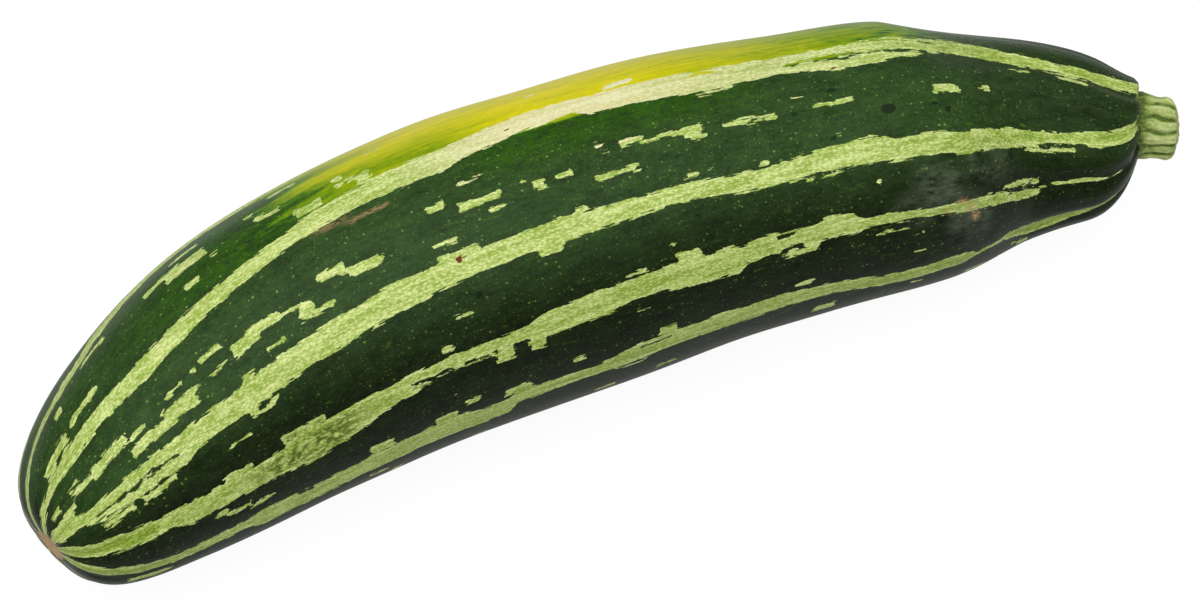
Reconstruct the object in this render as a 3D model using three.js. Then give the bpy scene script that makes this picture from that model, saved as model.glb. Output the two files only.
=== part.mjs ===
// A striped zucchini lying on its side as picked, with the stub of its cut stem.
// Millimetres, +Z up. +X runs from the blossom end to the stem, and the outside
// of the fruit's gentle bend faces +Y. The fruit rests along its underside on Z = 0.

import * as THREE from 'three';

// ---- Driving dimensions ----------------------------------------------------

// The spine runs through stations spaced evenly along X. Each gives how far the
// spine stands towards +Y there, and the full radius of the fruit.
const FIRST_STATION_X = -147.5;
const STATION_SPACING = 29.7;
const STATIONS = [
  { offset: -5.5, radius: 26.5 },
  { offset: 6.8, radius: 31 },
  { offset: 14.8, radius: 35.8 },
  { offset: 18.6, radius: 38.3 },
  { offset: 19.6, radius: 39.4 },
  { offset: 18.6, radius: 39.2 },
  { offset: 18, radius: 38.1 },
  { offset: 14.9, radius: 36.2 },
  { offset: 10.8, radius: 34.4 },
  { offset: 6.9, radius: 27.3 },
  { offset: -9.2, radius: 27.2 },
];

// Each end closes in a blunt dome: its length along X, and how square it is.
const BLOSSOM_DOME = { length: 63, bluntness: 3.15 };
const STEM_DOME = { length: 39, bluntness: 2.7 };

// The dry scar that the blossom left is a shallow pit in the tip.
const SCAR_RADIUS = 4.6;
const SCAR_DEPTH = 0.7;

// Ten shallow grooves run from end to end. They deepen at both ends, most of all
// at the shoulder round the stem.
const GROOVES = 10;
const FIRST_GROOVE = THREE.MathUtils.degToRad(4);
const GROOVE_SHARPNESS = 4;
const GROOVE_DEPTH = { middle: 0.25, blossom: 0.7, stem: 1.5 };
const GROOVE_FADE = { blossom: 35, stem: 55 };
const GROOVED_RADIUS = { from: 10, to: 20 };

// The underside is worn to a narrow flat where the fruit's weight rests on it.
const FLAT_DEPTH = 0.35;

// The stem stands in a shallow socket in the shoulder, clear of it by the gap. The
// socket is a little above and outside the middle of the shoulder, and the skin
// leans over to it from where the fruit is this wide.
const SOCKET_RADIUS = 9.6;
const SOCKET_DEPTH = 1.8;
const SOCKET_OFFSET = { sideways: 5.6, up: 3.2 };
const LEANING_RADIUS = 18;
const STEM_GAP = 0.35;

// The stem is a ridged stub, waisted above its base and cut a little aslant.
const STEM_HEIGHT = 10.1;
const STEM_WAIST_RADIUS = 8.1;
const STEM_TOP_RADIUS = 8.3;
const STEM_RIDGES = 5;
const STEM_RIDGE_HEIGHT = 0.35;
const STEM_CUT_SLANT = 0.12;
const STEM_CUT_DOME = 3.2;
const STEM_FOOT_HEIGHT = 4;

// Mesh fineness.
const FRUIT_SIDES = 60;
const DOME_RINGS = { blossom: 13, stem: 12 };
const MIDDLE_RINGS = 26;
const STEM_SIDES = 40;

// ---- Fruit -----------------------------------------------------------------

const LAST_STATION_X = FIRST_STATION_X + STATION_SPACING * (STATIONS.length - 1);

// X and Y of a point on this curve are the spine's, and Z is the full radius.
const spine = new THREE.CatmullRomCurve3(
  STATIONS.map(
    ({ offset, radius }, i) => new THREE.Vector3(FIRST_STATION_X + STATION_SPACING * i, offset, radius),
  ),
  false,
  'catmullrom',
  0.5,
);

// The spine's place, its level direction and its sideways normal at one X.
function spineAt(x) {
  const t = THREE.MathUtils.clamp((x - FIRST_STATION_X) / (LAST_STATION_X - FIRST_STATION_X), 0, 1);
  const point = spine.getPoint(t);
  const tangent = spine.getTangent(t);
  const direction = new THREE.Vector3(tangent.x, tangent.y, 0).normalize();
  const normal = new THREE.Vector3(-direction.y, direction.x, 0);
  return { centre: new THREE.Vector3(point.x, point.y, point.z - FLAT_DEPTH), radius: point.z, direction, normal };
}

// The fraction of the full radius that a dome leaves at a distance from its tip.
function domeFraction(distance, { length, bluntness }) {
  const left = THREE.MathUtils.clamp(1 - distance / length, 0, 1);
  return Math.pow(1 - Math.pow(left, bluntness), 1 / bluntness);
}

function skinRadius(x) {
  const fromBlossom = domeFraction(x - FIRST_STATION_X, BLOSSOM_DOME);
  const fromStem = domeFraction(LAST_STATION_X - x, STEM_DOME);
  return spineAt(x).radius * fromBlossom * fromStem;
}

// How far the grooves cut below the round skin. They fade out towards the scar
// and the socket, where the skin is too narrow to hold them.
function grooveDepth(x, angle, radius) {
  const nearBlossom = 1 - THREE.MathUtils.smoothstep(x - FIRST_STATION_X, 0, GROOVE_FADE.blossom);
  const nearStem = 1 - THREE.MathUtils.smoothstep(LAST_STATION_X - x, 0, GROOVE_FADE.stem);
  const depth =
    GROOVE_DEPTH.middle +
    (GROOVE_DEPTH.blossom - GROOVE_DEPTH.middle) * nearBlossom +
    (GROOVE_DEPTH.stem - GROOVE_DEPTH.middle) * nearStem;
  const across = Math.abs(Math.cos((GROOVES / 2) * (angle - FIRST_GROOVE)));
  return depth * Math.pow(across, GROOVE_SHARPNESS) * THREE.MathUtils.smoothstep(radius, GROOVED_RADIUS.from, GROOVED_RADIUS.to);
}

// The outline that is turned about the spine, as radius against X: the pit of
// the scar, the skin from dome to dome, and the socket for the stem.
function fruitOutline() {
  const blossomXs = [];
  for (let i = 2; i <= DOME_RINGS.blossom; i++) {
    blossomXs.push(FIRST_STATION_X + BLOSSOM_DOME.length * Math.pow(i / DOME_RINGS.blossom, 2.5));
  }
  let lipX = LAST_STATION_X;
  while (skinRadius(lipX) < SOCKET_RADIUS) lipX -= 0.01;
  const domeX = LAST_STATION_X - STEM_DOME.length;
  const stemXs = [];
  for (let i = DOME_RINGS.stem; i >= 0; i--) {
    stemXs.push(lipX - (lipX - domeX) * Math.pow(i / DOME_RINGS.stem, 1.8));
  }
  const middleXs = [];
  const firstMiddle = blossomXs.at(-1);
  for (let i = 1; i < MIDDLE_RINGS; i++) {
    middleXs.push(firstMiddle + ((stemXs[0] - firstMiddle) * i) / MIDDLE_RINGS);
  }
  const skin = [...blossomXs, ...middleXs, ...stemXs].map((x) => new THREE.Vector2(skinRadius(x), x));
  const floorX = lipX - SOCKET_DEPTH;
  const scar = [
    new THREE.Vector2(0, FIRST_STATION_X + SCAR_DEPTH),
    new THREE.Vector2(SCAR_RADIUS * 0.8, FIRST_STATION_X + SCAR_DEPTH),
    new THREE.Vector2(SCAR_RADIUS, FIRST_STATION_X + SCAR_DEPTH * 0.4),
  ];
  const socket = [new THREE.Vector2(SOCKET_RADIUS - 0.1, floorX), new THREE.Vector2(0, floorX)];
  return { outline: [...scar, ...skin, ...socket], floorX };
}

// How far a ring leans towards the socket: not at all down the fruit's length,
// and wholly at the socket itself.
function leanToSocket(x, radius) {
  return x > 0 ? 1 - THREE.MathUtils.smoothstep(radius, SOCKET_RADIUS, LEANING_RADIUS) : 0;
}

// A turned shape stands along Y. Bending lays each of its rings square across
// the spine, cuts the grooves and presses the underside flat.
function bendAlongSpine(geometry) {
  const position = geometry.attributes.position;
  for (let i = 0; i < position.count; i++) {
    const x = position.getY(i);
    const radius = Math.hypot(position.getX(i), position.getZ(i));
    const angle = Math.atan2(position.getX(i), position.getZ(i));
    const { centre, normal } = spineAt(x);
    const reach = radius - grooveDepth(x, angle, radius);
    const lean = leanToSocket(x, radius);
    const sideways = reach * Math.cos(angle) + lean * SOCKET_OFFSET.sideways;
    const up = reach * Math.sin(angle) + lean * SOCKET_OFFSET.up;
    const place = centre.clone().addScaledVector(normal, sideways);
    place.z = Math.max(0, place.z + up);
    position.setXYZ(i, place.x, place.y, place.z);
  }
  return geometry;
}

const { outline, floorX } = fruitOutline();
const fruit = new THREE.Mesh(
  bendAlongSpine(new THREE.LatheGeometry(outline, FRUIT_SIDES)),
  new THREE.MeshStandardMaterial({ color: 0x2c4a2a, roughness: 0.35, metalness: 0 }),
);
fruit.name = 'fruit';

// ---- Stem ------------------------------------------------------------------

// The stub's outline from its base in the socket to the middle of the cut.
const stemFoot = new THREE.Vector2(SOCKET_RADIUS - 0.1 - STEM_GAP * 1.5, 0);
const stemTop = SOCKET_DEPTH - STEM_GAP + STEM_HEIGHT;
const stemOutline = [
  new THREE.Vector2(0, 0),
  stemFoot,
  new THREE.Vector2(stemFoot.x, SOCKET_DEPTH),
  new THREE.Vector2(STEM_WAIST_RADIUS + 0.3, SOCKET_DEPTH + 0.4 * STEM_FOOT_HEIGHT),
  new THREE.Vector2(STEM_WAIST_RADIUS, SOCKET_DEPTH + STEM_FOOT_HEIGHT),
  new THREE.Vector2(STEM_TOP_RADIUS, stemTop - STEM_CUT_DOME),
  new THREE.Vector2(STEM_TOP_RADIUS * 0.94, stemTop - 0.7 * STEM_CUT_DOME),
  new THREE.Vector2(STEM_TOP_RADIUS * 0.78, stemTop - 0.36 * STEM_CUT_DOME),
  new THREE.Vector2(STEM_TOP_RADIUS * 0.45, stemTop - 0.1 * STEM_CUT_DOME),
  new THREE.Vector2(0, stemTop),
];

// Above the socket the stub carries its ridges, and its top leans with the cut.
function shapeStem(geometry) {
  const position = geometry.attributes.position;
  for (let i = 0; i < position.count; i++) {
    const [x, y, z] = [position.getX(i), position.getY(i), position.getZ(i)];
    const angle = Math.atan2(x, z);
    const above = THREE.MathUtils.smoothstep(y, SOCKET_DEPTH, SOCKET_DEPTH + STEM_FOOT_HEIGHT);
    const scale = 1 + (above * STEM_RIDGE_HEIGHT * Math.cos(STEM_RIDGES * angle)) / STEM_TOP_RADIUS;
    const lean = THREE.MathUtils.smoothstep(y, SOCKET_DEPTH + STEM_FOOT_HEIGHT, stemTop - STEM_CUT_DOME) * STEM_CUT_SLANT * x;
    position.setXYZ(i, x * scale, y + lean, z * scale);
  }
  return geometry;
}

const stem = new THREE.Mesh(
  shapeStem(new THREE.LatheGeometry(stemOutline, STEM_SIDES)),
  new THREE.MeshStandardMaterial({ color: 0x8fa64e, roughness: 0.6, metalness: 0 }),
);
stem.name = 'stem';

// The stub carries on the line of the spine, its base a gap above the socket.
const shoulder = spineAt(floorX);
stem.position.copy(shoulder.centre).addScaledVector(shoulder.direction, STEM_GAP);
stem.position.addScaledVector(shoulder.normal, SOCKET_OFFSET.sideways);
stem.position.z += SOCKET_OFFSET.up;
stem.quaternion.setFromUnitVectors(new THREE.Vector3(0, 1, 0), shoulder.direction);

// ---- Assembly --------------------------------------------------------------

const zucchini = new THREE.Group();
zucchini.add(fruit, stem);

// The origin is on the ground, under the middle of the whole zucchini.
const middle = new THREE.Box3().setFromObject(zucchini, true).getCenter(new THREE.Vector3());
zucchini.position.set(-middle.x, -middle.y, 0);

export default zucchini;
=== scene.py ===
# A striped zucchini lying on its side as picked, with the stub of its cut stem.
# Metres, +Z up. +X runs from the blossom end to the stem.

import math
import random

import bmesh
import bpy
import numpy as np
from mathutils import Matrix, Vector


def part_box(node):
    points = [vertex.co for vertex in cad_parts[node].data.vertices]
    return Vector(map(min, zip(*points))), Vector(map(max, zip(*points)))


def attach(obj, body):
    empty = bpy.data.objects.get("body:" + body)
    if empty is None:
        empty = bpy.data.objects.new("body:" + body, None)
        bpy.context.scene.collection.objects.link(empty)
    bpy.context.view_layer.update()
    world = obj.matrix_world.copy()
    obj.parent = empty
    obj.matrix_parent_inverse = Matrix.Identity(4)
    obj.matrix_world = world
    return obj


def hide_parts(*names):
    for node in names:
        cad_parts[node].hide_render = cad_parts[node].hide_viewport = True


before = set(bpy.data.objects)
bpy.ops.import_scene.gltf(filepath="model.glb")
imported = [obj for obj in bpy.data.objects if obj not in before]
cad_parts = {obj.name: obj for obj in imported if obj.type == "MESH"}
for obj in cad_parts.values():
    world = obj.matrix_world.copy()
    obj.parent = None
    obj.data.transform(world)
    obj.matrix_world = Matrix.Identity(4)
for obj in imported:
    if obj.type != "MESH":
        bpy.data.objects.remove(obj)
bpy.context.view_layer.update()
MM = 0.001

# ---- Camera -----------------------------------------------------------------
# The view looks well down on the fruit, from near the stem's side of square on.

CAMERA_DISTANCE = 0.83
CAMERA_ELEVATION = math.radians(60)
CAMERA_AZIMUTH = math.radians(-23.26)
LOOK_AT = Vector((-0.0051, -0.0178, 0.036))
FOCAL_LENGTH = 100
SENSOR_WIDTH = 36

view_back = Vector((
    math.sin(CAMERA_AZIMUTH) * math.cos(CAMERA_ELEVATION),
    -math.cos(CAMERA_AZIMUTH) * math.cos(CAMERA_ELEVATION),
    math.sin(CAMERA_ELEVATION),
))
camera_data = bpy.data.cameras.new("camera")
camera_data.lens = FOCAL_LENGTH
camera_data.sensor_width = SENSOR_WIDTH
camera_data.clip_start = 0.01
camera = bpy.data.objects.new("camera", camera_data)
camera.location = LOOK_AT + view_back * CAMERA_DISTANCE
camera.rotation_euler = (-view_back).to_track_quat("-Z", "Y").to_euler()
bpy.context.collection.objects.link(camera)
bpy.context.scene.camera = camera


# ---- Table ------------------------------------------------------------------
# A sheet of white acrylic over a light, as on a product table: the viewer sees it
# white, with only a faint shadow under the fruit, while little of it lights the fruit.

TABLE_SIZE = 6.0
TABLE_ROUGHNESS = 0.9
TABLE_WHITE = "#A4A4A2"
TABLE_SHADOWED = "#F2F2F2"
TABLE_GLOW = 0.93
SHADOW_SHARE = 0.12
GLOW_ONTO_FRUIT = 0.22


def linear(srgb):
    """The linear RGBA of a colour written as sRGB hex."""
    channels = [int(srgb[i:i + 2], 16) / 255 for i in (1, 3, 5)]
    return [c / 12.92 if c <= 0.04045 else ((c + 0.055) / 1.055) ** 2.4 for c in channels] + [1.0]


def new_material(name):
    """An empty node material with its output and its shader."""
    material = bpy.data.materials.new(name)
    material.use_nodes = True
    tree = material.node_tree
    shader = tree.nodes["Principled BSDF"]
    return material, tree, shader


def add_node(kind, inputs=None, output=0, **settings):
    """Adds a node to the current material, with its settings and with each input
    linked, given a value or given a colour, and returns one of its outputs."""
    node = tree.nodes.new("ShaderNode" + kind)
    for key, value in settings.items():
        setattr(node, key, value)
    if not isinstance(inputs, dict):
        inputs = dict(enumerate(inputs or []))
    for key, value in inputs.items():
        if isinstance(value, bpy.types.NodeSocket):
            tree.links.new(value, node.inputs[key])
        else:
            node.inputs[key].default_value = linear(value) if isinstance(value, str) else value
    return node.outputs[output]


table_mesh = bpy.data.meshes.new("table")
bm = bmesh.new()
bmesh.ops.create_grid(bm, x_segments=4, y_segments=4, size=TABLE_SIZE / 2)
bm.to_mesh(table_mesh)
bm.free()
table = bpy.data.objects.new("table", table_mesh)
bpy.context.collection.objects.link(table)
acrylic, tree, shader = new_material("white acrylic")
shader.inputs["Base Color"].default_value = linear(TABLE_WHITE)
shader.inputs["Roughness"].default_value = TABLE_ROUGHNESS
shader.inputs["Emission Color"].default_value = (1, 1, 1, 1)
shader.inputs["Emission Strength"].default_value = GLOW_ONTO_FRUIT
lit_from_below = add_node("Emission", {"Strength": TABLE_GLOW})
lit_from_above = add_node("BsdfDiffuse", {"Color": TABLE_SHADOWED})
shadowed = add_node("MixShader", {0: SHADOW_SHARE, 2: lit_from_above})
as_seen = add_node("AddShader", [lit_from_below, shadowed])
seen_directly = add_node("LightPath", output="Is Camera Ray")
acrylic_surface = add_node("MixShader", [seen_directly, shader.outputs[0], as_seen])
tree.links.new(acrylic_surface, tree.nodes["Material Output"].inputs["Surface"])
table_mesh.materials.append(acrylic)


# ---- Light ------------------------------------------------------------------
# A light tent: its roof glows, its walls darken towards the table, and one big
# softbox overhead adds a soft sheen. The viewer sees the tent as white.

ROOF_STRENGTH = 0.82
WALL_STRENGTH = 0.10
ROOF_HEIGHT = 0.75
SOFTBOX_PLACE = Vector((-0.25, -0.15, 1.35))
SOFTBOX_TARGET = Vector((0, 0, 0.03))
SOFTBOX_SIZE = 1.5
SOFTBOX_WATTS = 11.5

world = bpy.data.worlds.new("room")
bpy.context.scene.world = world
world.use_nodes = True
tree = world.node_tree
looking_up = add_node("SeparateXYZ", [add_node("TexCoord")], output="Z")
tent = add_node("MapRange", [looking_up, 0, ROOF_HEIGHT, WALL_STRENGTH, ROOF_STRENGTH],
                interpolation_type="SMOOTHSTEP")
seen_directly = add_node("LightPath", output="Is Camera Ray")
brightness = add_node("Math", [tent, seen_directly], operation="MAXIMUM")
background = tree.nodes["Background"]
background.inputs["Color"].default_value = (1, 1, 1, 1)
tree.links.new(brightness, background.inputs["Strength"])
light_data = bpy.data.lights.new("overhead softbox", "AREA")
light_data.size = SOFTBOX_SIZE
light_data.energy = SOFTBOX_WATTS
light = bpy.data.objects.new("overhead softbox", light_data)
light.location = SOFTBOX_PLACE
light.rotation_euler = (SOFTBOX_TARGET - SOFTBOX_PLACE).to_track_quat("-Z", "Y").to_euler()
bpy.context.collection.objects.link(light)
bpy.context.scene.view_settings.view_transform = "Standard"


# ---- Fruit ------------------------------------------------------------------
# One grown fruit: a bent, blunt-ended body with ten shallow grooves, a dry scar
# at the blossom end and a shoulder that closes round the stem. It rests along a
# narrow flat on its underside.

FIRST_STATION_X = -147.5
STATION_SPACING = 29.7
STATION_OFFSETS = [-5.5, 6.8, 14.8, 18.6, 19.6, 18.6, 18, 14.9, 10.8, 6.9, -9.2]
STATION_RADII = [26.5, 31, 35.8, 38.3, 39.4, 39.2, 38.1, 36.2, 34.4, 27.3, 27.2]
LAST_STATION_X = FIRST_STATION_X + STATION_SPACING * (len(STATION_RADII) - 1)
# Each end is a dome: its length in mm, and how blunt it is.
BLOSSOM_DOME = (63, 3.15)
STEM_DOME = (39, 2.7)
FLAT_DEPTH = 0.35
GROOVES = 10
FIRST_GROOVE = 4
GROOVE_SHARPNESS = 4
GROOVE_DEPTH = 0.25
DEEPER_AT_BLOSSOM, BLOSSOM_FADE = 0.45, 35
DEEPER_AT_STEM, STEM_FADE = 1.45, 55
SWELL, SWELL_LENGTH = 0.22, 19
RIPPLE, RIPPLE_LENGTH = 0.14, 8.3
SCAR_RADIUS = 4.6
SCAR_DEPTH = 0.9
SCAR_OFFSET = (-1.2, 3.5)
SCAR_LEANING_RADIUS = 20
SCAR_GROOVES_RADIUS = 14
SOCKET_RADIUS = 9.3
SOCKET_DEPTH = 1.6
SOCKET_OFFSET = (5.6, 3.2)
SOCKET_GROOVES_RADII = (8.7, 12.3)
LEANING_RADIUS = 22
SHOULDER_DIP = 1.9
DIP_RADIUS = 17
DEEPEST_DIP_ANGLE = 35
DIP_ON_LOBES, DIP_ADDED_IN_GROOVES = 0.7, 0.6
DIP_MEAN, DIP_UNEVENNESS = 1.25, 0.75
NARROWING_RADIUS = 24
PINCH_X, PINCH_LENGTH = 137, 11
PINCH_ANGLE, PINCH_WIDTH = 200, 55
PINCH_DEPTH = 2.3
FRUIT_SIDES = 256
FRUIT_RINGS = 380


def smooth_step(value, low, high):
    """Rises from 0 at the low value to 1 at the high one, level at both."""
    t = np.clip((value - low) / (high - low), 0, 1)
    return t * t * (3 - 2 * t)


def through_stations(values, x):
    """A smooth curve through evenly spaced stations, read at each x."""
    ends = [2 * values[0] - values[1], *values, 2 * values[-1] - values[-2]]
    t = np.clip((x - FIRST_STATION_X) / STATION_SPACING, 0, len(values) - 1)
    i = np.minimum(t.astype(int), len(values) - 2)
    f = t - i
    a, b, c, d = (np.take(ends, i + k) for k in range(4))
    return b + 0.5 * f * (c - a + f * (2 * a - 5 * b + 4 * c - d + f * (3 * (b - c) + d - a)))


def dome_fraction(distance, dome):
    """The fraction of the full radius that a dome leaves at a distance from its tip."""
    length, bluntness = dome
    left = np.clip(1 - distance / length, 0, 1)
    return (1 - left ** bluntness) ** (1 / bluntness)


def spine_slope(x):
    """How far the spine moves sideways for each millimetre along X."""
    step = 0.05
    ahead = through_stations(STATION_OFFSETS, x + step)
    behind = through_stations(STATION_OFFSETS, x - step)
    return (ahead - behind) / (2 * step)


def skin_radius(x):
    """The radius of the skin about the spine, domed at both ends."""
    blossom_end = dome_fraction(x - FIRST_STATION_X, BLOSSOM_DOME)
    stem_end = dome_fraction(LAST_STATION_X - x, STEM_DOME)
    return through_stations(STATION_RADII, x) * blossom_end * stem_end


def fruit_outline():
    """The turned outline as X and radius, from the scar's middle to the socket's."""
    x = np.linspace(0, 1, 6000)
    x = FIRST_STATION_X + (LAST_STATION_X - FIRST_STATION_X) * (x + 0.5 * (1 - np.cos(math.pi * x))) / 2
    r = skin_radius(x)
    lip = np.argmax((x > 0) & (r < SOCKET_RADIUS))
    first = np.argmax(r > SCAR_RADIUS)
    scar_r = np.linspace(0, SCAR_RADIUS, 40)[:-1]
    scar_x = FIRST_STATION_X + SCAR_DEPTH * (1 - smooth_step(scar_r, 0.55 * SCAR_RADIUS, SCAR_RADIUS))
    wall_x = np.linspace(x[lip - 1], x[lip - 1] - SOCKET_DEPTH, 12)[1:]
    wall_r = SOCKET_RADIUS - 0.5 * np.linspace(0, 1, 11) ** 2
    floor_r = np.linspace(wall_r[-1], 0, 30)[1:]
    xs = np.concatenate([scar_x, x[first:lip], wall_x, np.full(floor_r.shape, wall_x[-1])])
    rs = np.concatenate([scar_r, r[first:lip], wall_r, floor_r])
    return xs, rs


def even_rings(xs, rs, count):
    """The outline at evenly spaced distances along itself."""
    walked = np.concatenate([[0], np.cumsum(np.hypot(np.diff(xs), np.diff(rs)))])
    wanted = np.linspace(0, walked[-1], count)
    return np.interp(wanted, walked, xs), np.interp(wanted, walked, rs)


def turned_ball(name, sides, rings):
    """A ball of rings whose vertices come with the ring and the angle each is on."""
    mesh = bpy.data.meshes.new(name)
    bm = bmesh.new()
    bmesh.ops.create_uvsphere(bm, u_segments=sides, v_segments=rings, radius=1)
    bmesh.ops.recalc_face_normals(bm, faces=bm.faces)
    bm.to_mesh(mesh)
    bm.free()
    place = np.empty(len(mesh.vertices) * 3)
    mesh.vertices.foreach_get("co", place)
    place = place.reshape(-1, 3)
    ring = np.rint(np.arccos(np.clip(place[:, 2], -1, 1)) / math.pi * rings).astype(int)
    angle = np.degrees(np.arctan2(place[:, 1], place[:, 0])) % 360
    return mesh, ring, angle


fruit_mesh, ring, angle = turned_ball("zucchini_fruit", FRUIT_SIDES, FRUIT_RINGS)
outline_x, outline_r = even_rings(*fruit_outline(), FRUIT_RINGS + 1)
ring = FRUIT_RINGS - ring
x = outline_x[ring]
radius = outline_r[ring]
turn = np.radians(angle)

# The spine's direction and its sideways normal, ring by ring.
offset = through_stations(STATION_OFFSETS, x)
slope = spine_slope(x)
steep = np.hypot(1, slope)
normal_x, normal_y = -slope / steep, 1 / steep

# Grooves deepen at both ends, and round the stem they part the shoulder into lobes.
near_blossom = 1 - smooth_step(x - FIRST_STATION_X, 0, BLOSSOM_FADE)
near_stem = 1 - smooth_step(LAST_STATION_X - x, 0, STEM_FADE)
clear_of_scar = smooth_step(radius, SCAR_RADIUS, SCAR_GROOVES_RADIUS)
clear_of_socket = np.where(x > 0, smooth_step(radius, *SOCKET_GROOVES_RADII), 1)
groove = np.abs(np.cos(np.radians(angle - FIRST_GROOVE) * GROOVES / 2)) ** GROOVE_SHARPNESS
groove_depth = GROOVE_DEPTH + DEEPER_AT_BLOSSOM * near_blossom + DEEPER_AT_STEM * near_stem
groove_depth = groove_depth * groove * clear_of_scar * clear_of_socket

# Growth is never quite even: the skin swells and dips by a few tenths of a millimetre.
swell = (
    SWELL * np.sin(x / SWELL_LENGTH + 1.3 * np.sin(turn)) * np.cos(2 * turn + x / 47)
    + RIPPLE * np.sin(x / RIPPLE_LENGTH + 2.1 * np.cos(turn)) * np.cos(5 * turn - x / 31)
) * smooth_step(radius, 8, 22)
reach = radius - groove_depth + swell - SWELL

# Low on the near side the shoulder is pinched in.
pinch = np.exp(-((x - PINCH_X) / PINCH_LENGTH) ** 2) * smooth_step(np.abs(angle - PINCH_ANGLE), PINCH_WIDTH, 0)
reach = reach - PINCH_DEPTH * pinch

lean_stem = np.where(x > 0, 1 - smooth_step(radius, SOCKET_RADIUS, LEANING_RADIUS), 0)
lean_scar = np.where(x < 0, 1 - smooth_step(radius, SCAR_RADIUS, SCAR_LEANING_RADIUS), 0)
sideways = reach * np.cos(turn) + lean_stem * SOCKET_OFFSET[0] + lean_scar * SCAR_OFFSET[0]
up = reach * np.sin(turn) + lean_stem * SOCKET_OFFSET[1] + lean_scar * SCAR_OFFSET[1]
height = through_stations(STATION_RADII, x) - FLAT_DEPTH + up
# Close round the stem the shoulder dips, most of all between its lobes and at the far side.
dip = SHOULDER_DIP * (x > 0) * (1 - smooth_step(radius, SOCKET_RADIUS, DIP_RADIUS))
dip = dip * (DIP_ON_LOBES + DIP_ADDED_IN_GROOVES * groove)
dip = dip * (DIP_MEAN + DIP_UNEVENNESS * np.cos(np.radians(angle - DEEPEST_DIP_ANGLE)))
place_x = x - dip + normal_x * sideways
place_y = offset + normal_y * sideways
place = np.stack([place_x, place_y, np.maximum(height, 0)], axis=1)

# The CAD fruit says where the fruit is: both are the same shape, so their boxes meet.
cad_low, cad_high = (np.array(corner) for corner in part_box("fruit"))
shift = (cad_low + cad_high) / 2 / MM - (place.min(axis=0) + place.max(axis=0)) / 2
shift[2] = 0
place += shift
fruit_mesh.vertices.foreach_set("co", (place * MM).ravel())
fruit_mesh.update()

# The markings are laid out on the skin by the distance along the spine from the
# blossom end, in millimetres, and the angle round it: 0 is the far side, 90 the
# top, 180 the near side and 270 the underside.
spine_x = np.linspace(FIRST_STATION_X, LAST_STATION_X, 4000)
spine_y = through_stations(STATION_OFFSETS, spine_x)
spine_length = np.concatenate([[0], np.cumsum(np.hypot(np.diff(spine_x), np.diff(spine_y)))])
along = np.interp(x, spine_x, spine_length)
FRUIT_LENGTH = spine_length[-1]
mm_per_degree = np.maximum(radius, 0.5) * math.pi / 180

# Each stripe: (distance along, upper edge, lower edge) from end to end.
STRIPES = [
    # Over the far shoulder, passing into the yellow patch.
    [(0, 40, 54), (4, 42, 52), (12, 41, 48), (20, 41, 49), (30, 39, 47), (37, 34, 43), (48, 30, 39),
     (66, 28, 37), (80, 30, 38), (110, 29, 35), (170, 28, 33), (230, 24, 31), (262, 16, 25),
     (306, 10, 24)],
    # Along the lower edge of the yellow patch.
    [(0, 74, 88), (4, 77, 85), (10, 76, 86), (22, 78, 87), (36, 80, 89), (50, 79, 87), (70, 77, 84),
     (84, 74, 81), (97, 71, 80), (122, 69, 80), (130, 68, 77), (145, 64, 73), (157, 64, 72),
     (161, 65, 75), (190, 67, 79), (212, 66, 77), (222, 66, 80), (236, 64, 79), (246, 64, 77),
     (249, 63, 74), (256, 61, 73), (262, 62, 74), (270, 67, 77), (280, 71, 80), (290, 69, 78),
     (298, 63, 73), (306, 58, 70)],
    # Just on the near side of the top.
    [(0, 100, 122), (5, 110, 120), (10, 115, 126), (20, 116, 130), (33, 118, 130), (37, 118, 128),
     (55, 118, 128), (75, 116, 126), (100, 113, 123), (122, 114, 121), (145, 112, 120),
     (170, 114, 120), (190, 116, 123), (204, 115, 123), (212, 113, 122), (226, 112, 123),
     (231, 115, 124), (244, 115, 124), (246, 116, 126), (268, 117, 126), (284, 118, 124),
     (294, 113, 124), (300, 107, 122), (306, 100, 120)],
    # Down the near side.
    [(0, 130, 150), (5, 138, 152), (12, 143, 155), (22, 147, 156), (26, 148, 160), (40, 150, 160),
     (52, 150, 161), (64, 149, 163), (76, 148, 160), (90, 147, 155), (103, 146, 152),
     (126, 146, 151), (134, 143, 152), (150, 141, 151), (154, 141, 149), (162, 141, 149),
     (165, 141, 152), (184, 142, 153), (187, 143, 150), (196, 142, 150), (206, 142, 150),
     (210, 140, 149), (217, 141, 150), (220, 144, 149), (236, 146, 150), (250, 147, 153),
     (262, 149, 155), (275, 150, 155), (277, 149, 151), (284, 148, 150), (291, 146, 149),
     (300, 148, 149), (306, 148, 148)],
    # Low on the near side.
    [(0, 158, 176), (5, 167, 180), (10, 172, 185), (20, 178, 187), (40, 178, 186), (44, 177, 190),
     (62, 178, 190), (76, 177, 188), (92, 175, 187), (104, 173, 187), (112, 176, 188),
     (119, 176, 187), (121, 173, 183), (128, 174, 182), (144, 174, 180), (148, 172, 180),
     (156, 169, 179), (172, 170, 179), (182, 170, 181), (200, 171, 179), (214, 173, 181),
     (224, 177, 185), (238, 177, 185), (246, 176, 184), (248, 180, 182), (256, 178, 181),
     (259, 176, 183), (272, 178, 190), (284, 178, 190), (296, 174, 186), (306, 168, 184)],
]

# Round the hidden side five more run on, wavering with the same spacing and width.
dice = random.Random(11)
for middle in (218, 254, 290, 326, 2):
    waver, breadth = dice.uniform(0, 6), dice.uniform(3.6, 4.8)
    stripe = []
    for s in range(0, 307, 9):
        centre = middle + 2.5 * math.sin(s / 41 + waver) + dice.uniform(-0.5, 0.5)
        half = breadth + 1.1 * math.sin(s / 23 - waver) + dice.uniform(-0.9, 0.9)
        stripe.append((s, centre - half, centre + half))
    STRIPES.append(stripe)

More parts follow.
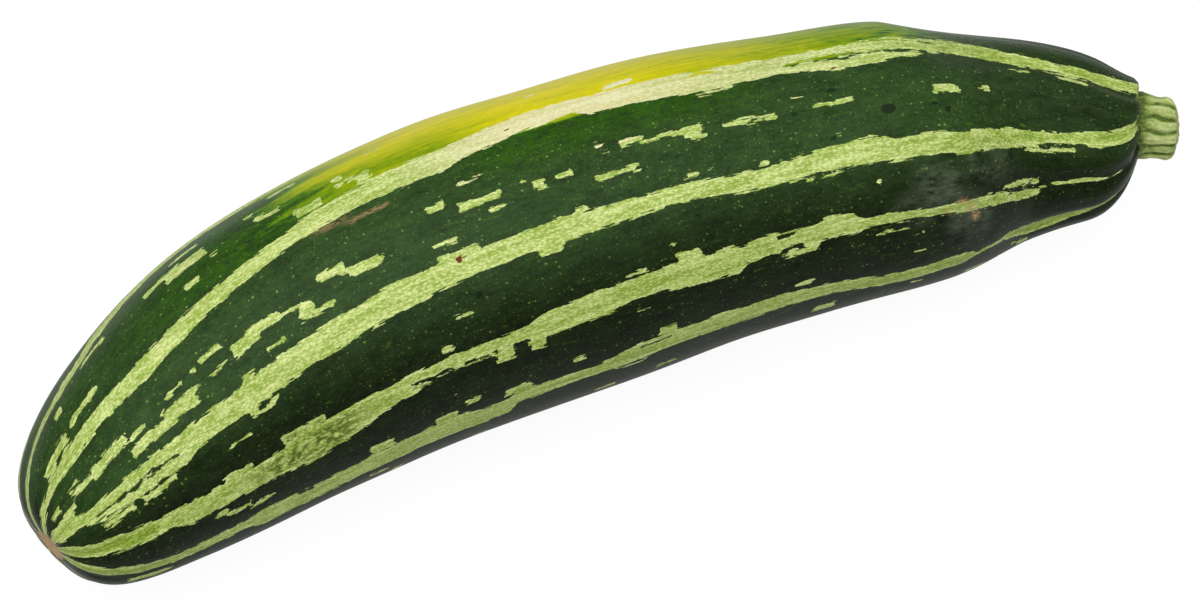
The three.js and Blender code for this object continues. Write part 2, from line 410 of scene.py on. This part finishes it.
# Blunt flecks of the same pale colour: (distance along, angle, length, width in mm).
FLECKS = [
    # Between the far shoulder stripe and the next.
    (20, 57, 2.5, 1.5), (12.5, 72, 9, 2.2), (24, 70.5, 10, 1.5), (34, 49.5, 8, 1.4),
    (55, 53, 10, 2.0), (60.5, 56, 11, 3.4), (62, 46.5, 8, 1.6), (59, 68.5, 4, 1.4),
    (67, 62.5, 2, 0.9), (78, 53, 2.8, 1.7), (82, 59.5, 6, 1.6), (80, 58, 3, 1.4), (88, 45, 7, 1.8),
    (90, 69, 7, 3.2), (99, 61, 2.5, 1.3), (101, 65, 6, 1.3), (104.5, 67, 3.5, 4),
    (171, 62.5, 7.5, 2), (110, 52, 4, 1.1), (150, 51, 3, 1),
    # On the broad band over the top.
    (3.5, 97, 2.5, 1.2), (9.8, 96.5, 3, 0.9), (6, 105, 3, 0.8), (4.5, 109, 4, 2.2),
    (12, 100.8, 8, 0.7), (20, 101.3, 11, 2.5), (27.5, 103.8, 6, 0.8), (30, 110, 12, 2.4),
    (39.5, 108.8, 9, 3.8), (51, 107.4, 16, 0.8), (60.5, 105.2, 8, 2.8), (66, 103.6, 10, 2.3),
    (72, 104.6, 6, 1.1), (40.5, 101.4, 5.5, 1.3), (52, 99.6, 6, 1.4), (46.5, 100.7, 1.2, 0.6),
    (77.5, 106.6, 4, 3.4), (81, 109.8, 6, 1.5), (76, 109.4, 3, 1.1), (86.5, 99.5, 7, 2.2),
    (90, 101.6, 4, 1), (94.5, 103, 8, 2.6), (98.3, 102.8, 3, 1.1), (66.5, 112.4, 5, 0.8),
    (127, 88.2, 7.5, 0.8), (116, 93.6, 5, 2.1), (126.5, 97, 11, 2), (138, 95.4, 1.3, 0.7),
    (141.5, 98.4, 3, 2.2), (148, 97.3, 4, 1.5), (159, 89.7, 2, 1.3), (159.7, 94, 2.4, 0.7),
    (167, 92.6, 6, 1.8), (174, 94.6, 10, 1.1), (182, 95.6, 6, 2.6), (183.5, 98.4, 4, 1.5),
    (131.5, 101.8, 7, 0.9), (160.5, 102.8, 11, 1.7), (114.5, 107.3, 7, 1.1),
    (180.5, 111.8, 11, 0.7), (197.5, 113.8, 2, 0.7), (197, 96.2, 14, 1.6), (191, 80.4, 9, 0.9),
    (210.5, 90.6, 3, 1), (218.5, 95.7, 11, 0.9), (248.5, 96, 7.5, 2.1), (259.5, 95.4, 3, 1.1),
    (271, 81, 6, 0.9), (284, 82.6, 8, 1.2), (218, 108.2, 1.8, 0.8), (57, 117, 3.5, 1.4),
    (117, 112.4, 11, 1.8), (149, 111.4, 3, 1.8),
    # Between the next two stripes.
    (13, 131, 8, 1.6), (24, 132.4, 10, 1.5), (56, 130.6, 7, 0.9), (59.5, 128.8, 2.5, 1.4),
    (46.5, 136.6, 7, 0.5), (112.5, 133, 5, 0.8), (106, 142.2, 3, 1.5), (156.5, 139, 5, 0.7),
    (167, 133.4, 1.6, 0.7), (170.5, 139.6, 7, 2.4), (212, 123.9, 10, 0.5), (225, 131, 1.6, 0.7),
    (277, 127.8, 18, 0.8), (139, 121.6, 6, 2.2), (42.5, 149, 8, 2), (63, 147.8, 13, 3),
    (192, 142, 8, 0.5), (266, 146, 18, 1.3), (120, 153.4, 5, 3.2), (129.5, 153.4, 4.5, 3.2),
    (203, 151.6, 8, 1.8), (197, 152.4, 6, 0.6), (229, 152.8, 13, 0.5), (233, 156.8, 4, 0.8),
    (156.5, 154, 3.5, 0.6),
    # Low on the near side.
    (34, 164, 4, 1.1), (39, 167, 7, 1.1), (45.5, 169.6, 8, 1.1), (104.5, 162.7, 1.5, 0.6),
    (109, 168.6, 4.5, 1.6), (139.5, 167, 3.2, 1.8), (161.5, 167.4, 4, 2.4),
    (202.5, 167.5, 5.5, 0.8), (234, 166.7, 3, 0.9), (82, 173.2, 7, 3), (101, 172.8, 7, 3),
    (122, 172.4, 8, 3), (152, 181.2, 8, 0.6),
]

# Flecks of the hidden side, scattered in the dark bands between its stripes.
for band in (200, 236, 272, 308, 344, 18):
    for _ in range(13):
        FLECKS.append((
            dice.uniform(8, 298),
            band + dice.uniform(-11, 11),
            dice.uniform(2, 6) * dice.uniform(1, 2.2),
            dice.uniform(0.7, 1.3) * dice.uniform(1, 2.2),
        ))

# Dark slivers that split the pale stripes, given as the flecks are.
SLIVERS = [
    (220, 72.2, 18, 1.5), (237, 73.6, 24, 1.1), (276, 77.6, 30, 0.5), (187, 68.7, 14, 0.4),
    (240, 66, 26, 0.35), (21, 123.2, 13, 0.9), (13, 121.8, 8, 0.6), (30, 124.4, 12, 0.4),
    (106, 151, 24, 1), (199, 143, 5, 1.1), (200, 149, 6, 0.8), (269, 149.4, 22, 1),
    (57.5, 178.7, 5, 1.2), (125, 182.5, 8, 0.8), (160, 172, 12, 0.3),
]


def depth_in_stripe(stripe):
    """How far inside a stripe's edges each vertex is, in mm, and below zero outside."""
    stations, upper, lower = zip(*stripe)
    top, bottom = np.interp(along, stations, upper), np.interp(along, stations, lower)
    middle, half = (top + bottom) / 2, (bottom - top) / 2
    away = np.abs((angle - middle + 180) % 360 - 180)
    return (half - away) * mm_per_degree


def depth_in_fleck(fleck):
    """How far inside a fleck's blunt outline each vertex is, in mm, and below zero outside."""
    s, at, length, width = fleck
    dx = np.abs(along - s) - length / 2
    dy = np.abs((angle - at + 180) % 360 - 180) * mm_per_degree - width / 2
    outside = np.hypot(np.maximum(dx, 0), np.maximum(dy, 0))
    return -(outside + np.minimum(np.maximum(dx, dy), 0))


pale = np.full(len(x), -6.0)
for stripe in STRIPES:
    pale = np.maximum(pale, depth_in_stripe(stripe))
for sliver in SLIVERS:
    pale = np.minimum(pale, -depth_in_fleck(sliver))
for fleck in FLECKS:
    pale = np.maximum(pale, depth_in_fleck(fleck))

# Where the fruit lay on the ground it stayed yellow: a long patch from the edge of
# the top stripe round to the far side, green again towards both ends.
far_angle = (angle + 180) % 360 - 180
edge_lag = 0.25 * np.abs(angle - 52) + 5 * np.sin(angle / 6) + 4 * np.sin(angle / 2.3)
ground = (
    smooth_step(along - edge_lag, 64, 116)
    * (1 - 0.62 * smooth_step(along, 160, 240))
    * (1 - smooth_step(along, 236, 272))
    * smooth_step(far_angle, -25, 5)
    * (1 - smooth_step(far_angle, 70, 76))
    * (1 - 0.5 * smooth_step(far_angle, 50, 66) * (1 - smooth_step(along, 118, 150)))
)
# Just below the patch the green is fresher. Down the near side it darkens to near black: painted shade.
fresh = smooth_step(along, 115, 140) * (1 - smooth_step(along, 185, 215))
fresh = fresh * (1 - smooth_step(angle, 80, 97))
fresh_start = smooth_step(along, 25, 70) * (1 - smooth_step(along, 110, 130)) * (angle < 76)
fresh = np.maximum(fresh, 0.8 * fresh_start)
# Painted shade: darker down the near side, a little less so on the underside, and darker round both ends and
# towards the stem.
painted_shade = smooth_step(angle, 106, 150) * (1 - 0.35 * smooth_step(angle, 215, 300))
painted_shade = np.maximum(painted_shade, 1 - smooth_step(radius, 9, 20))
painted_shade = np.maximum(painted_shade, 0.5 * smooth_step(along, 235, 290) * (angle < 215))
# The stripes beside the patch are creamier.
cream = smooth_step(along, 104, 146) * (1 - 0.7 * smooth_step(along, 158, 205))
cream = cream * (np.abs(far_angle - 50) < 42) * (1 - smooth_step(along, 205, 250))

# The stripes are greener low on the near side and towards the stem, and one has an
# olive stretch near the blossom end.
verdant = 0.08 + 0.6 * smooth_step(along, 212, 275)
verdant = np.maximum(verdant, 0.7 * (1 - smooth_step(along, 8, 30)))
verdant = verdant + 0.35 * smooth_step(angle, 135, 150)
olive = smooth_step(along, 38, 54) * (1 - smooth_step(along, 70, 88)) * smooth_step(angle, 138, 146)
olive = olive * (1 - smooth_step(angle, 166, 172))

# Knocks and scratches: (distance along, angle, length, width in mm, strength).
BROWN_MARKS = [
    (116.3, 114.4, 1.3, 0.9, 1), (140, 70.6, 1.2, 0.2, 0.7), (165.5, 72, 1.4, 0.6, 0.35),
    (222.3, 78.6, 0.7, 0.5, 0.9),
]
TAN_MARKS = [
    (92, 82.2, 16, 0.1, 0.8), (100, 84.2, 12, 0.1, 0.6), (97, 84.6, 1.6, 0.7, 0.7),
    (104, 84.5, 5, 0.1, 0.8), (246.5, 150, 0.8, 3, 0.9), (247.6, 155, 1, 3.5, 1),
    (245, 147, 2, 1, 0.8), (242, 149.5, 2.4, 0.6, 0.6),
]
DULL_SPOTS = [
    (232, 102.2, 4, 2, 1), (208.5, 97, 1.8, 1, 0.7), (219.5, 90, 3.4, 0.8, 0.7),
    (216.5, 110, 0.8, 0.5, 0.8), (247, 105.6, 0.6, 0.4, 1), (244, 102.6, 0.8, 0.4, 0.8),
    (262, 130.5, 1.4, 1.6, 1), (104, 107, 0.8, 0.8, 0.6), (118, 128.6, 0.6, 0.4, 0.9),
    (178, 136, 1, 0.5, 0.8), (176, 127, 0.8, 0.3, 0.7),
]
DUSTY = [(240, 138, 5, 5, 0.4), (247, 157, 2, 7, 0.35), (254, 132, 6, 2, 0.25), (234, 146, 5, 1, 0.2)]


def marked(marks, softness):
    """How strongly each vertex is marked, from 0 to 1: each mark is an oval that fades
    out over the softness, in mm."""
    total = np.zeros(len(x))
    for s, at, length, width, strength in marks:
        dx = (along - s) / (length / 2 + softness)
        dy = ((angle - at + 180) % 360 - 180) * mm_per_degree / (width / 2 + softness)
        total = np.maximum(total, strength * (1 - smooth_step(np.hypot(dx, dy), 0.35, 1)))
    return total


def write_attribute(mesh, name, values):
    """Stores one number, or one vector, for each vertex."""
    kind, key = ("FLOAT_VECTOR", "vector") if values.ndim == 2 else ("FLOAT", "value")
    attribute = mesh.attributes.new(name, kind, "POINT")
    attribute.data.foreach_set(key, np.ascontiguousarray(values, dtype=np.float32).ravel())


# Patterns are sized on the skin laid out straight. Towards both ends, where the skin
# narrows, they narrow with it.
walked = ring * np.hypot(np.diff(outline_x), np.diff(outline_r)).mean()
wide = np.maximum(reach, NARROWING_RADIUS)
straight = np.stack([walked, wide * np.cos(turn), wide * np.sin(turn)], axis=1)
scar = (1 - smooth_step(radius, SCAR_RADIUS * 0.85, SCAR_RADIUS * 1.15)) * (x < 0)
attributes = {
    "straight": straight,
    "pale_depth": pale,
    "ground": ground,
    "fresh": fresh,
    # painted shade, darker down the near side and round the ends
    "painted_shade": painted_shade,
    "cream": cream,
    "verdant": verdant,
    "olive": olive,
    "brown": marked(BROWN_MARKS, 0.7),
    "tan": marked(TAN_MARKS, 0.7),
    "dull": marked(DULL_SPOTS, 1.0),
    "dusty": 0.75 * marked(DUSTY, 7.0),
    "scar": scar,
}
for name, values in attributes.items():
    write_attribute(fruit_mesh, name, values)

fruit = bpy.data.objects.new("zucchini_fruit", fruit_mesh)
bpy.context.collection.objects.link(fruit)
fruit_mesh.polygons.foreach_set("use_smooth", [True] * len(fruit_mesh.polygons))


# The skin is a living, waxy rind: satin, dark green, with pale stripes made of
# rows of small beads and with fine pale specks over the dark bands.
DARK_GREEN, DARK_LIGHT = "#1B3010", "#385526"
# Painted shade: the darker greens laid down the near side and round the ends.
PAINTED_SHADE_GREEN, PAINTED_SHADE_PALE = "#080F03", "#1E2D13"
FRESH_GREEN, FRESH_LIGHT = "#193B01", "#336105"
GROUND_EDGE = "#4B7C04"
GROUND_GREEN = "#94A602"
GROUND_YELLOW = "#DDD000"
GROUND_PALE = "#DDDC7C"
STRIPE_SHADE, STRIPE_LIGHT = "#93AC46", "#DDE89C"
STRIPE_GREEN, STRIPE_FRESH = "#6C8A20", "#AFC65C"
STRIPE_OLIVE = "#55661C"
STRIPE_CREAM, CREAM_LIGHT = "#D5CF92", "#EDEAC0"
SPECK_GREEN = "#8FB04C"
BROWN = "#6A3018"
DRY_TAN = "#B49468"
DUST_GREY = "#8A9680"
DULL_GREEN = "#0E1708"
SCAR_BROWN = "#9C7450"
SCAR_TAN = "#DDBB96"
SKIN_ROUGHNESS = 0.36
SKIN_GLOSS = 0.09
SKIN_BLOOM, BLOOM_ROUGHNESS = 0.05, 0.35
# The length and width of each pattern's features, in mm.
BEAD_SIZE = (1.1, 0.42)
NOTCH_SIZE = (3.4, 0.85)
FRAY_SIZE = (1.1, 0.35)
GRIT_SIZE = (0.7, 0.42)
DAPPLE_SIZE = (2.6, 1.2)
MOTTLE_SIZE = (9, 4)
STREAK_SIZE = (16, 1.2)
PORE_SIZE = (1.125, 0.75)
PORE_DEPTH = 0.1
NOTCH_REACH = 0.45
FRAY_REACH = 0.34
SPECKS = [
    # spacing in mm, rarity, boldness
    (0.6, 0.15, 0.5), (1.15, 0.4, 0.6),
]

skin, tree, shader = new_material("waxy zucchini rind")
on_skin = add_node("Attribute", output="Vector", attribute_name="straight")


def features(length, width, **inputs):
    """A pattern whose features are this long and this wide on the straightened skin, in mm."""
    counted = add_node("VectorMath", [on_skin, (1 / length, 1 / width, 1 / width)], operation="MULTIPLY")
    return {"Vector": counted, "Scale": 1, **inputs}


# The stripes' edges step in and out in blunt notches, and fray a little.
notch_cells = features(*NOTCH_SIZE, Randomness=0.9)
notches = add_node("TexVoronoi", notch_cells, output="Color", distance="CHEBYCHEV")
fray = add_node("TexNoise", features(*FRAY_SIZE, Detail=3))
grit = add_node("TexNoise", features(*GRIT_SIZE, Detail=3, Roughness=0.7))
streaks = add_node("TexNoise", features(*STREAK_SIZE, Detail=4))
mottle = add_node("TexNoise", features(*MOTTLE_SIZE, Detail=5, Roughness=0.6))
dapple = add_node("TexNoise", features(*DAPPLE_SIZE, Detail=4, Roughness=0.7))
pale_depth = add_node("Attribute", output="Fac", attribute_name="pale_depth")
notch = add_node("Math", [add_node("SeparateColor", [notches]), 0.5], operation="SUBTRACT")
edge = add_node("Math", [notch, 2 * NOTCH_REACH, pale_depth], operation="MULTIPLY_ADD")
edge = add_node("Math", [fray, 2 * FRAY_REACH, edge], operation="MULTIPLY_ADD")
is_pale = add_node("MapRange", [edge, FRAY_REACH - 0.1, FRAY_REACH + 0.12], interpolation_type="SMOOTHSTEP")

# Beads: each pale stripe is made of rows of small, slightly raised, longer than wide cells.
beads = add_node("TexVoronoi", features(*BEAD_SIZE), output="Distance")
bead_height = add_node("MapRange", [beads, 0.1, 0.75, 1, 0], interpolation_type="SMOOTHSTEP")
tone = add_node("Math", [bead_height, 0.4, add_node("Math", [streaks, 1.0], operation="MULTIPLY")],
                operation="MULTIPLY_ADD")
tone = add_node("Math", [grit, 0.25, tone], operation="MULTIPLY_ADD")
tone = add_node("MapRange", [tone, 0.55, 1.05])
stripe = add_node("Mix", {"Factor": tone, 6: STRIPE_SHADE, 7: STRIPE_LIGHT}, output=2, data_type="RGBA")
# Inside its paler edges a stripe is greener, most of all low down and near the stem.
inside = add_node("MapRange", [edge, 0.5, 1.8], interpolation_type="SMOOTHSTEP")
verdant = add_node("Attribute", output="Fac", attribute_name="verdant")
green_share = add_node("Math", [inside, verdant], operation="MULTIPLY")
greener = add_node("Mix", {"Factor": tone, 6: STRIPE_GREEN, 7: STRIPE_FRESH}, output=2, data_type="RGBA")
stripe = add_node("Mix", {"Factor": green_share, 6: stripe, 7: greener}, output=2, data_type="RGBA")
olive = add_node("Attribute", output="Fac", attribute_name="olive")
olive_share = add_node("Math", [olive, add_node("MapRange", [dapple, 0.42, 0.56])], operation="MULTIPLY")
olive_share = add_node("Math", [olive_share, inside], operation="MULTIPLY")
stripe = add_node("Mix", {"Factor": olive_share, 6: stripe, 7: STRIPE_OLIVE}, output=2, data_type="RGBA")
creamy = add_node("Mix", {"Factor": tone, 6: STRIPE_CREAM, 7: CREAM_LIGHT}, output=2, data_type="RGBA")
cream = add_node("Attribute", output="Fac", attribute_name="cream")
stripe = add_node("Mix", {"Factor": cream, 6: stripe, 7: creamy}, output=2, data_type="RGBA")

# The dark bands: dappled, fresher green in places, painted darker as shade down the near side and round the
# ends, with pale specks.
patches = add_node("Math", [mottle, 0.5, add_node("Math", [dapple, 0.5], operation="MULTIPLY")],
                   operation="MULTIPLY_ADD")
patches = add_node("Math", [grit, 0.5, patches], operation="MULTIPLY_ADD")
light_share = add_node("MapRange", [patches, 0.58, 0.95])
upper = add_node("Mix", {"Factor": light_share, 6: DARK_GREEN, 7: DARK_LIGHT}, output=2, data_type="RGBA")
# The lower tone is painted shade, laid down the near side and round both ends.
lower = add_node("Mix", {"Factor": light_share, 6: PAINTED_SHADE_GREEN, 7: PAINTED_SHADE_PALE}, output=2, data_type="RGBA")
lively = add_node("Mix", {"Factor": light_share, 6: FRESH_GREEN, 7: FRESH_LIGHT}, output=2, data_type="RGBA")
painted_shade = add_node("Attribute", output="Fac", attribute_name="painted_shade")
fresh = add_node("Attribute", output="Fac", attribute_name="fresh")
fresh_share = add_node("Math", [fresh, add_node("MapRange", [dapple, 0.3, 0.55])], operation="MULTIPLY")
dark = add_node("Mix", {"Factor": painted_shade, 6: upper, 7: lower}, output=2, data_type="RGBA")
dark = add_node("Mix", {"Factor": fresh_share, 6: dark, 7: lively}, output=2, data_type="RGBA")
for spacing, rarity, boldness in SPECKS:
    cells = features(1.2 * spacing, spacing)
    reach_of_speck = add_node("TexVoronoi", cells, output="Distance")
    kind = add_node("SeparateColor", [add_node("TexVoronoi", cells, output="Color")], output=1)
    size = add_node("MapRange", [kind, rarity, 1, -0.12, 0.22])
    is_speck = add_node("Math", [size, reach_of_speck], operation="SUBTRACT")
    is_speck = add_node("MapRange", [is_speck, -0.1, 0.05, 0, boldness])
    # Fewer specks where the shade is painted.
    fewer_in_painted_shade = add_node("MapRange", [painted_shade, 0, 1, 1, 0.6])
    is_speck = add_node("Math", [is_speck, fewer_in_painted_shade], operation="MULTIPLY")
    in_drifts = add_node("MapRange", [mottle, 0.35, 0.6, 0.3, 1])
    is_speck = add_node("Math", [is_speck, in_drifts], operation="MULTIPLY")
    dark = add_node("Mix", {"Factor": is_speck, 6: dark, 7: SPECK_GREEN}, output=2, data_type="RGBA")

# The yellow patch runs through fresh green at its rim, and is yellowest at its middle.
ground = add_node("Attribute", output="Fac", attribute_name="ground")
patch = add_node("Math", [streaks, 0.7, ground], operation="MULTIPLY_ADD")
patch = add_node("Math", [dapple, 0.5, patch], operation="MULTIPLY_ADD")
rim_share = add_node("MapRange", [patch, 0.74, 0.94])
green_share = add_node("MapRange", [patch, 0.86, 1.16])
yellow_share = add_node("MapRange", [patch, 1.12, 1.7])
pale_flush = add_node("Math", [add_node("MapRange", [grit, 0.5, 0.75]), yellow_share], operation="MULTIPLY")
pale_flush = add_node("Math", [pale_flush, 0.15], operation="MULTIPLY")
body = add_node("Mix", {"Factor": rim_share, 6: dark, 7: GROUND_EDGE}, output=2, data_type="RGBA")
body = add_node("Mix", {"Factor": green_share, 6: body, 7: GROUND_GREEN}, output=2, data_type="RGBA")
body = add_node("Mix", {"Factor": yellow_share, 6: body, 7: GROUND_YELLOW}, output=2, data_type="RGBA")
body = add_node("Mix", {"Factor": pale_flush, 6: body, 7: GROUND_PALE}, output=2, data_type="RGBA")

# Marks of life: dull spots, dust, scratches, knocks and the dry blossom scar.
colour = add_node("Mix", {"Factor": is_pale, 6: body, 7: stripe}, output=2, data_type="RGBA")
blot = add_node("Attribute", output="Fac", attribute_name="dull")
blot = add_node("Math", [dapple, 0.9, blot], operation="MULTIPLY_ADD")
is_dull = add_node("MapRange", [blot, 0.85, 1.05, 0, 0.75])
haze = add_node("Attribute", output="Fac", attribute_name="dusty")
cloud = add_node("Math", [dapple, mottle], operation="MULTIPLY")
haze = add_node("Math", [haze, add_node("MapRange", [cloud, 0.14, 0.4])], operation="MULTIPLY")
worn = add_node("Attribute", output="Fac", attribute_name="tan")
worn = add_node("Math", [worn, add_node("MapRange", [fray, 0.4, 0.52])], operation="MULTIPLY")
knock = add_node("Attribute", output="Fac", attribute_name="brown")
knock = add_node("Math", [grit, 0.6, knock], operation="MULTIPLY_ADD")
is_knock = add_node("MapRange", [knock, 0.72, 0.92])
scar = add_node("Attribute", output="Fac", attribute_name="scar")
scar_tone = add_node("Mix", {"Factor": add_node("MapRange", [grit, 0.35, 0.65]), 6: SCAR_BROWN, 7: SCAR_TAN},
                     output=2, data_type="RGBA")
layers = [(is_dull, DULL_GREEN), (haze, DUST_GREY), (worn, DRY_TAN), (is_knock, BROWN), (scar, scar_tone)]
for share, mark in layers:
    colour = add_node("Mix", {"Factor": share, 6: colour, 7: mark}, output=2, data_type="RGBA")
tree.links.new(colour, shader.inputs["Base Color"])

roughness = add_node("Math", [dapple, 0.25, SKIN_ROUGHNESS - 0.12], operation="MULTIPLY_ADD")
roughness = add_node("Math", [is_pale, 0.06, roughness], operation="MULTIPLY_ADD")
roughness = add_node("Math", [scar, 0.3, roughness], operation="MULTIPLY_ADD")
roughness = add_node("Math", [haze, 0.2, roughness], operation="MULTIPLY_ADD")
tree.links.new(roughness, shader.inputs["Roughness"])
shader.inputs["Specular IOR Level"].default_value = SKIN_GLOSS
shader.inputs["Sheen Weight"].default_value = SKIN_BLOOM
shader.inputs["Sheen Roughness"].default_value = BLOOM_ROUGHNESS

# Fine pores all over, and the beads standing a little proud.
pores = add_node("TexNoise", features(*PORE_SIZE, Detail=3))
raised = add_node("Math", [bead_height, is_pale], operation="MULTIPLY")
relief = add_node("Math", [raised, 0.45, pores], operation="MULTIPLY_ADD")
relief = add_node("Math", [is_dull, -0.8, relief], operation="MULTIPLY_ADD")
bump = add_node("Bump", {"Strength": 0.7, "Distance": PORE_DEPTH * MM, "Height": relief})
tree.links.new(bump, shader.inputs["Normal"])
fruit_mesh.materials.append(skin)

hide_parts("fruit")
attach(fruit, "root")


# ---- Stem -------------------------------------------------------------------
# The stub of the woody stem, cut with a knife: pale green, five-ridged and
# furrowed, a little flared at its foot, with a dry face across the cut.

STEM_HEIGHT = 10.1
STEM_FOOT_RADIUS = 9.0
STEM_WAIST_RADIUS = 8.0
STEM_TOP_RADIUS = 8.25
STEM_SUNK = 4.4
STEM_CUT_SLANT = 0.12
STEM_RIDGES = 5
STEM_FURROWS = 13
STEM_SIDES = 200
STEM_RINGS = 150
RIDGE_HEIGHT = 0.35
FURROW_DEPTH = 0.6
WRINKLE_HEIGHT = 0.16
LIP_SET_BACK = 1.7
STEM_ROUGHNESS = 0.62
STEM_GLOSS = 0.3
FIBRE_RELIEF = 0.4
FIBRE_SIZE = (5, 0.55)
BLOTCH_SIZE = (1.6, 1.0)


def stem_outline():
    """The turned outline as height over the shoulder and radius, foot to cut."""
    heights = np.array([-STEM_SUNK, -STEM_SUNK, 0, 1.6, 4, 5.6, 6.9, 8.1, 9.0, 9.7, STEM_HEIGHT])
    foot = [0, STEM_FOOT_RADIUS - 0.6, STEM_FOOT_RADIUS - 0.2, 8.4]
    waist = [STEM_WAIST_RADIUS, STEM_WAIST_RADIUS]
    cut = [STEM_TOP_RADIUS, 7.7, 6.4, 3.8, 0]
    radii = np.array(foot + waist + cut)
    return heights, radii


stem_mesh, ring, angle = turned_ball("zucchini_stem", STEM_SIDES, STEM_RINGS)
ring = STEM_RINGS - ring
outline_h, outline_r = even_rings(*stem_outline(), STEM_RINGS + 1)
h = outline_h[ring]
radius = outline_r[ring]
turn = np.radians(angle)
on_side = smooth_step(radius, 3, 7)
above = smooth_step(h, -0.5, 2.5)
winding = turn + 0.05 * np.sin(0.8 * h + 3 * turn)
ridges = RIDGE_HEIGHT * np.cos(STEM_RIDGES * winding) + 0.2 * np.sin(0.9 * h + 4 * turn) * np.cos(3 * turn)
furrows = -FURROW_DEPTH * np.abs(np.cos(STEM_FURROWS / 2 * winding + 0.5)) ** 7
wrinkles = WRINKLE_HEIGHT * np.sin(31 * turn + 0.9 * np.sin(h * 0.9)) * np.cos(h * 0.55 + 3 * turn)
radius = radius + on_side * above * (ridges + furrows + wrinkles)
slant = smooth_step(h, 4, 8) * STEM_CUT_SLANT
rough_cut = smooth_step(h, 8.4, 9.6) * 0.16 * np.sin(9 * turn + radius) * np.cos(radius * 1.7)

# The stub carries on the line of the spine, out of the middle of the socket.
lip_x = np.array([LAST_STATION_X - LIP_SET_BACK])
end_slope = spine_slope(lip_x)[0]
forward = np.array([1, end_slope, 0]) / math.hypot(1, end_slope)
beside = np.array([-forward[1], forward[0], 0])
lip = np.array([lip_x[0], through_stations(STATION_OFFSETS, lip_x)[0], 0]) + beside * SOCKET_OFFSET[0]
lip[2] = through_stations(STATION_RADII, lip_x)[0] - FLAT_DEPTH + SOCKET_OFFSET[1]
lip += shift
sideways = radius * np.cos(turn)
place = (
    lip
    + forward * (h + rough_cut - slant * sideways)[:, None]
    + beside * sideways[:, None]
    + np.array([0, 0, 1]) * (radius * np.sin(turn))[:, None]
)
stem_mesh.vertices.foreach_set("co", (place * MM).ravel())
stem_mesh.update()
stem_mesh.polygons.foreach_set("use_smooth", [True] * len(stem_mesh.polygons))
write_attribute(stem_mesh, "straight", np.stack([h, radius * np.cos(turn), radius * np.sin(turn)], axis=1))
write_attribute(stem_mesh, "cut", smooth_step(h, 8.2, 9.0))
write_attribute(stem_mesh, "crest", np.clip(0.75 + 0.35 * ridges + 1.5 * furrows, 0, 1) * above)
stem = bpy.data.objects.new("zucchini_stem", stem_mesh)
bpy.context.collection.objects.link(stem)

# Matte, fibrous rind: pale green ridges over darker furrows, dried tan at the cut.
STEM_LIGHT = "#C6D08C"
STEM_GREEN = "#8FA24E"
STEM_FURROW = "#4A6420"
CUT_TAN = "#C9B48C"
CUT_GREEN = "#93A860"

rind, tree, shader = new_material("fibrous stem rind")
on_skin = add_node("Attribute", output="Vector", attribute_name="straight")
fibres = add_node("TexNoise", features(*FIBRE_SIZE, Detail=5, Roughness=0.6))
blotches = add_node("TexNoise", features(*BLOTCH_SIZE, Detail=4, Roughness=0.6))
crest = add_node("Attribute", output="Fac", attribute_name="crest")
crest = add_node("Math", [fibres, 0.9, crest], operation="MULTIPLY_ADD")
crest = add_node("Math", [blotches, 1.3, crest], operation="MULTIPLY_ADD")
furrowed = add_node("MapRange", [crest, 1.05, 1.5])
crested = add_node("MapRange", [crest, 1.5, 2.1])
side = add_node("Mix", {"Factor": furrowed, 6: STEM_FURROW, 7: STEM_GREEN}, output=2, data_type="RGBA")
side = add_node("Mix", {"Factor": crested, 6: side, 7: STEM_LIGHT}, output=2, data_type="RGBA")
dried = add_node("MapRange", [blotches, 0.35, 0.65])
face = add_node("Mix", {"Factor": dried, 6: CUT_GREEN, 7: CUT_TAN}, output=2, data_type="RGBA")
cut = add_node("Attribute", output="Fac", attribute_name="cut")
colour = add_node("Mix", {"Factor": cut, 6: side, 7: face}, output=2, data_type="RGBA")
tree.links.new(colour, shader.inputs["Base Color"])
shader.inputs["Roughness"].default_value = STEM_ROUGHNESS
shader.inputs["Specular IOR Level"].default_value = STEM_GLOSS
relief = add_node("Math", [blotches, 0.8, fibres], operation="MULTIPLY_ADD")
bump = add_node("Bump", {"Strength": 0.8, "Distance": FIBRE_RELIEF * MM, "Height": relief})
tree.links.new(bump, shader.inputs["Normal"])
stem_mesh.materials.append(rind)

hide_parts("stem")
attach(stem, "root")
